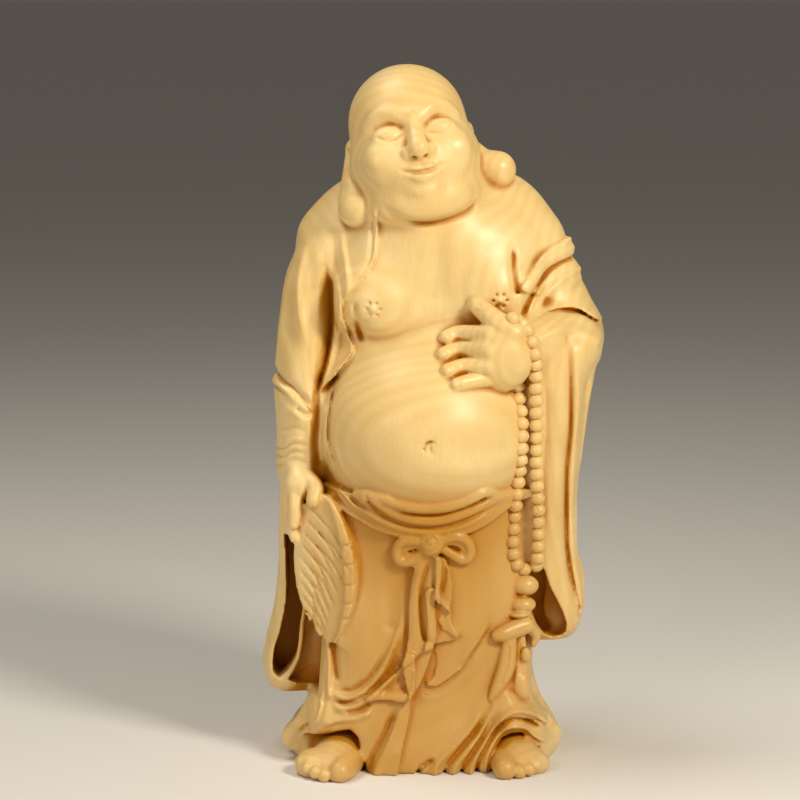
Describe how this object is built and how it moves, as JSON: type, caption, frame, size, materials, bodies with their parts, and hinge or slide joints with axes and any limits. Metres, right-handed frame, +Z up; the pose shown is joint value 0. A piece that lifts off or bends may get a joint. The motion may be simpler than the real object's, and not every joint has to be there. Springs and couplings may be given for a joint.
{
  "type": "budai figure",
  "caption": "Standing robed budai carved in one piece, with a leaf fan, a bow on the sash and a long string of beads over the bare belly.",
  "frame": {"origin": "middle of the figure's footprint box, on the plane it stands on", "axes": "+Z up along the height, -Y towards the viewer, the way the figure faces, +X to the figure's left hand"},
  "size_m": [0.0992, 0.0776, 0.1999],
  "materials": {
    "boxwood": "satin hand polish over fine growth rings, darker amber in the cuts"
  },
  "bodies": {
    "root": {"budai_figure": "boxwood"}
  },
  "joints": []
}
